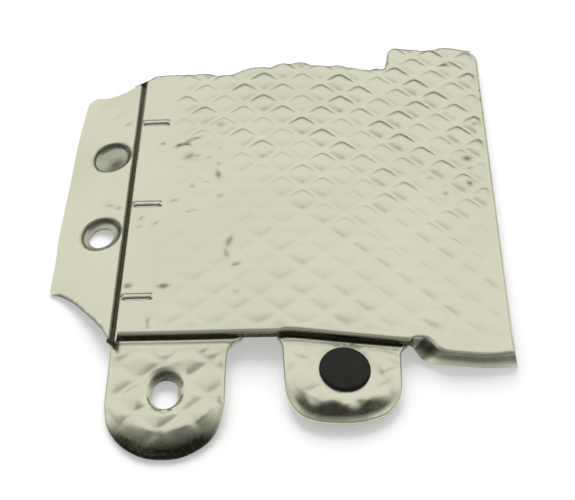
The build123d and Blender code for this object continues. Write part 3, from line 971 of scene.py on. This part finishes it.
# The slotted tab and the second tab, as closed shells
slot_line = np.vstack((straight(SLOT_TAB)[:-1], spline(SLOT_TAB_END)[:-1], spline(SLOT_TAB_FLARE)))
slot_hole = stadium((SLOT_X, SLOT_Y), SLOT_WIDTH, SLOT_LENGTH)
slot_rings = []
for share in SLOT_RINGS:
    middle = SLOT_Y + (SLOT_RIM_Y - SLOT_Y) * share
    width = SLOT_WIDTH + (SLOT_RIM_WIDTH - SLOT_WIDTH) * share
    length = SLOT_LENGTH + (SLOT_RIM_LENGTH - SLOT_LENGTH) * share
    slot_rings.append(stadium((SLOT_X, middle), width, length))
slot_tab, slot_dirt_and_shade = tab_shell(slot_line, "slot", [slot_hole], slot_rings)
button_line = spline(BUTTON_TAB)
button_rings = [ring((BUTTON_X, BUTTON_Y), radius, SEAT_POINTS) for radius in SEAT_RINGS]
button_tab, button_dirt_and_shade = tab_shell(button_line, "button", [], button_rings)


def join(shells):
    """Several closed meshes as one list of vertices and faces."""
    vertices = []
    faces = []
    for points, polygons in shells:
        first = len(vertices)
        vertices += [tuple(point) for point in points]
        faces += [tuple(int(i) + first for i in polygon) for polygon in polygons]
    return np.array(vertices), faces


# Looks: noise as scale and detail, relief as strength and distance, and colours
CLOUD = (38.0, 4.0)
SPECKLE = (1100.0, 3.0)
HAZE = (160.0, 5.0)
GRAIN = (900.0, 3.0)
MOTTLE = (300.0, 4.0)
PITS = (1500.0, 2.0)
GRAIN_RELIEF = (0.12, 0.0002)
PIT_RELIEF = (0.2, 0.0001)
METAL_TINTS = [(0.3, (0.640, 0.645, 0.500)), (0.7, (0.680, 0.680, 0.540))]
METAL_ROUGHNESS = (0.24, 0.36)
# Colour of the dirt and of the painted shade and painted dark reflection, and the spread of its
# patchiness
DIRT_AND_SHADE_COLOUR = (0.030, 0.029, 0.018)
DIRT_AND_SHADE_PATCHY = (0.85, 1.15)
RED_COLOUR = (0.42, 0.05, 0.06)
BLACK_TINTS = [(0.3, (0.008, 0.008, 0.006)), (0.7, (0.014, 0.014, 0.011))]
BLACK_ROUGHNESS = (0.55, 0.75)
BLACK_SPECULAR = 0.25
PAPER_COLOUR = (0.9, 0.9, 0.9, 1.0)
PAPER_ROUGHNESS = 0.9
PAPER_GLOW = 0.35


def new_material(name):
    """A node material, its node tree and its shader."""
    material = bpy.data.materials.new(name)
    material.use_nodes = True
    tree = material.node_tree
    return material, tree, tree.nodes["Principled BSDF"]


def noise(tree, scale, detail):
    """Values of a noise texture that follows the object's own coordinates."""
    place = tree.nodes.new("ShaderNodeTexCoord")
    node = tree.nodes.new("ShaderNodeTexNoise")
    node.inputs["Scale"].default_value = scale
    node.inputs["Detail"].default_value = detail
    tree.links.new(place.outputs["Object"], node.inputs["Vector"])
    return node.outputs["Fac"]


def attribute(tree, name):
    """Values that a mesh has on its points."""
    node = tree.nodes.new("ShaderNodeAttribute")
    node.attribute_name = name
    return node.outputs["Fac"]


def ramp(tree, source, stops):
    """A colour from a value, between stops."""
    node = tree.nodes.new("ShaderNodeValToRGB")
    elements = node.color_ramp.elements
    while len(elements) < len(stops):
        elements.new(0.5)
    for element, (position, colour) in zip(elements, stops):
        element.position = position
        element.color = (*colour, 1.0)
    tree.links.new(source, node.inputs["Fac"])
    return node.outputs["Color"]


def map_range(tree, source, low, high):
    """A value from 0 to 1 moved to a new range."""
    node = tree.nodes.new("ShaderNodeMapRange")
    node.inputs["To Min"].default_value = low
    node.inputs["To Max"].default_value = high
    tree.links.new(source, node.inputs["Value"])
    return node.outputs["Result"]


def math_node(tree, operation, first, second):
    """A value from two others, kept between 0 and 1."""
    node = tree.nodes.new("ShaderNodeMath")
    node.operation = operation
    node.use_clamp = True
    tree.links.new(first, node.inputs[0])
    tree.links.new(second, node.inputs[1])
    return node.outputs[0]


def cover(tree, factor, under, colour):
    """A colour laid over another by a factor."""
    node = tree.nodes.new("ShaderNodeMix")
    node.data_type = "RGBA"
    node.inputs["B"].default_value = (*colour, 1.0)
    tree.links.new(factor, node.inputs["Factor"])
    tree.links.new(under, node.inputs["A"])
    return node.outputs["Result"]


def add_relief(tree, shader, source, strength, distance):
    """Fine relief on a shader from a value."""
    node = tree.nodes.new("ShaderNodeBump")
    node.inputs["Strength"].default_value = strength
    node.inputs["Distance"].default_value = distance
    tree.links.new(source, node.inputs["Height"])
    tree.links.new(node.outputs["Normal"], shader.inputs["Normal"])


aluminium, tree, shader = new_material("satin_aluminium")
shader.inputs["Metallic"].default_value = 1.0
clean = ramp(tree, noise(tree, *CLOUD), METAL_TINTS)
patchy = map_range(tree, noise(tree, *SPECKLE), *DIRT_AND_SHADE_PATCHY)
# Dirt, painted shade and painted dark reflection from the mesh's values darken the metal
dirt_and_shade_share = math_node(tree, "MULTIPLY", attribute(tree, "dirt_and_shade"), patchy)
soiled_and_shaded = cover(tree, dirt_and_shade_share, clean, DIRT_AND_SHADE_COLOUR)
painted = cover(tree, attribute(tree, "red_streak"), soiled_and_shaded, RED_COLOUR)
tree.links.new(painted, shader.inputs["Base Color"])
gloss = map_range(tree, noise(tree, *HAZE), *METAL_ROUGHNESS)
tree.links.new(gloss, shader.inputs["Roughness"])
add_relief(tree, shader, noise(tree, *GRAIN), *GRAIN_RELIEF)

black, tree, shader = new_material("black_button")
mottle = noise(tree, *MOTTLE)
tree.links.new(ramp(tree, mottle, BLACK_TINTS), shader.inputs["Base Color"])
tree.links.new(map_range(tree, mottle, *BLACK_ROUGHNESS), shader.inputs["Roughness"])
shader.inputs["Specular IOR Level"].default_value = BLACK_SPECULAR
add_relief(tree, shader, noise(tree, *PITS), *PIT_RELIEF)

# Shield
# Dirt, painted shade and painted dark reflection on every point of the shield
wear_and_shade = np.concatenate((shell_dirt_and_shade, slot_dirt_and_shade, button_dirt_and_shade))
red = np.concatenate((shell_red, np.zeros(len(slot_dirt_and_shade) + len(button_dirt_and_shade))))
marks = [("dirt_and_shade", wear_and_shade), ("red_streak", red)]
skin = make_piece("shield_skin", *join([shell, slot_tab, button_tab]), aluminium, marks=marks)
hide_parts("heat_shield")
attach(skin, "root")

# Button: radius and height of its section, from the top of the head to the foot of the stem
SECTION = [
    (3.0, HEAD_HEIGHT),
    (HEAD_RADIUS - 0.9, HEAD_HEIGHT - 0.02),
    (HEAD_RADIUS - 0.35, HEAD_HEIGHT - 0.12),
    (HEAD_RADIUS - 0.08, HEAD_HEIGHT - 0.36),
    (HEAD_RADIUS, HEAD_HEIGHT - 0.6),
    (HEAD_RADIUS, 0.02),
    (STEM_RADIUS, 0.02),
    (STEM_RADIUS, -1.05),
    (BEAD_RADIUS, -1.5),
    (STEM_RADIUS, -STEM_LENGTH),
]
BUTTON_SHARP = 50.0


def on_seat(across, along, height):
    """A point of the button, from the middle of its seat."""
    seat_z = float(crown(BUTTON_X)) - TAB_DROP - SEAT_DEPTH
    return (
        BUTTON_X + across * cos(SEAT_TURN) + height * sin(SEAT_TURN),
        BUTTON_Y + along,
        seat_z - across * sin(SEAT_TURN) + height * cos(SEAT_TURN),
    )


points = []
for radius, height in SECTION:
    for index in range(BUTTON_POINTS):
        angle = 2 * pi * index / BUTTON_POINTS
        points.append(on_seat(radius * cos(angle), radius * sin(angle), height))
polygons = []
for row in range(len(SECTION) - 1):
    for index in range(BUTTON_POINTS):
        start = row * BUTTON_POINTS + index
        end = row * BUTTON_POINTS + (index + 1) % BUTTON_POINTS
        polygons.append((start, start + BUTTON_POINTS, end + BUTTON_POINTS, end))
polygons.append(tuple(range(BUTTON_POINTS)))
polygons.append(tuple(range(len(points) - 1, len(points) - BUTTON_POINTS - 1, -1)))
button = make_piece("button_body", points, polygons, black, BUTTON_SHARP)
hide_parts("retainer_button")
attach(button, "root")

# Floor of white paper that also glows a little where the camera or a reflection sees it
FLOOR_REACH = 2.0
floor_mesh = bpy.data.meshes.new("floor")
corners = [(x * FLOOR_REACH, y * FLOOR_REACH, 0) for x, y in ((-1, -1), (1, -1), (1, 1), (-1, 1))]
floor_mesh.from_pydata(corners, [], [(0, 1, 2, 3)])
floor = bpy.data.objects.new("floor", floor_mesh)
bpy.context.scene.collection.objects.link(floor)
paper, tree, shader = new_material("white_paper")
shader.inputs["Base Color"].default_value = PAPER_COLOUR
shader.inputs["Roughness"].default_value = PAPER_ROUGHNESS
shader.inputs["Specular IOR Level"].default_value = 0.0
rays = tree.nodes.new("ShaderNodeLightPath")
seen = math_node(tree, "MAXIMUM", rays.outputs["Is Camera Ray"], rays.outputs["Is Glossy Ray"])
seen = math_node(tree, "MAXIMUM", seen, rays.outputs["Is Transmission Ray"])
glow = map_range(tree, seen, 0.0, PAPER_GLOW)
white = tree.nodes.new("ShaderNodeEmission")
blend = tree.nodes.new("ShaderNodeMixShader")
tree.links.new(glow, blend.inputs[0])
tree.links.new(shader.outputs[0], blend.inputs[1])
tree.links.new(white.outputs[0], blend.inputs[2])
tree.links.new(blend.outputs[0], tree.nodes["Material Output"].inputs["Surface"])
floor_mesh.materials.append(paper)
floor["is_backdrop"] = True

# Light: a studio that is bright at the back and dimmer overhead and in front, by height and by Y
STUDIO_GREYS = [(0.0, 0.06), (0.24, 0.08), (0.36, 1.03), (0.88, 1.03), (0.985, 0.30)]
FRONT_Y = -0.35
BACK_Y = 0.15
FRONT_SHARE = 0.38
scene = bpy.context.scene
world = bpy.data.worlds.new("studio")
scene.world = world
world.use_nodes = True
tree = world.node_tree
sky = tree.nodes["Background"]
direction = tree.nodes.new("ShaderNodeTexCoord")
parts = tree.nodes.new("ShaderNodeSeparateXYZ")
tree.links.new(direction.outputs["Generated"], parts.inputs[0])
greys = ramp(tree, parts.outputs["Z"], [(position, (grey,) * 3) for position, grey in STUDIO_GREYS])
back = tree.nodes.new("ShaderNodeMapRange")
back.inputs["From Min"].default_value = FRONT_Y
back.inputs["From Max"].default_value = BACK_Y
back.inputs["To Min"].default_value = FRONT_SHARE
tree.links.new(parts.outputs["Y"], back.inputs["Value"])
shade = tree.nodes.new("ShaderNodeMix")
shade.data_type = "RGBA"
shade.blend_type = "MULTIPLY"
shade.inputs["Factor"].default_value = 1.0
tree.links.new(greys, shade.inputs["A"])
tree.links.new(back.outputs["Result"], shade.inputs["B"])
tree.links.new(shade.outputs["Result"], sky.inputs["Color"])
sky.inputs["Strength"].default_value = 1.0

# Soft square lamp at the back, that faces the middle of the floor
LAMP_PLACE = Vector((-0.15, 0.75, 0.80))
LAMP_SIZE = 0.8
LAMP_WATTS = 12.0
lamp = bpy.data.lights.new("back_lamp", "AREA")
lamp.energy = LAMP_WATTS
lamp.size = LAMP_SIZE
back_lamp = bpy.data.objects.new("back_lamp", lamp)
back_lamp.location = LAMP_PLACE
back_lamp.rotation_euler = (-LAMP_PLACE).to_track_quat("-Z", "Y").to_euler()
back_lamp.visible_glossy = False
scene.collection.objects.link(back_lamp)

# Camera fitted to the photograph
LENS = 72.33
SENSOR = 36.0
EYE = np.array((-17.3065, -299.0477, 262.4267))
RIGHT = (0.9996, 0.0049, 0.0280)
DOWN = (0.0219, -0.7605, -0.6490)
AHEAD = (0.0181, 0.6494, -0.7603)
camera_data = bpy.data.cameras.new("camera")
camera_data.sensor_fit = "HORIZONTAL"
camera_data.sensor_width = SENSOR
camera_data.lens = LENS
camera = bpy.data.objects.new("camera", camera_data)
scene.collection.objects.link(camera)
place = (EYE + PLACE) * MM
camera.matrix_world = Matrix(
    (
        (RIGHT[0], -DOWN[0], -AHEAD[0], place[0]),
        (RIGHT[1], -DOWN[1], -AHEAD[1], place[1]),
        (RIGHT[2], -DOWN[2], -AHEAD[2], place[2]),
        (0.0, 0.0, 0.0, 1.0),
    )
)
scene.camera = camera
scene.view_settings.view_transform = "Standard"

low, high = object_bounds()
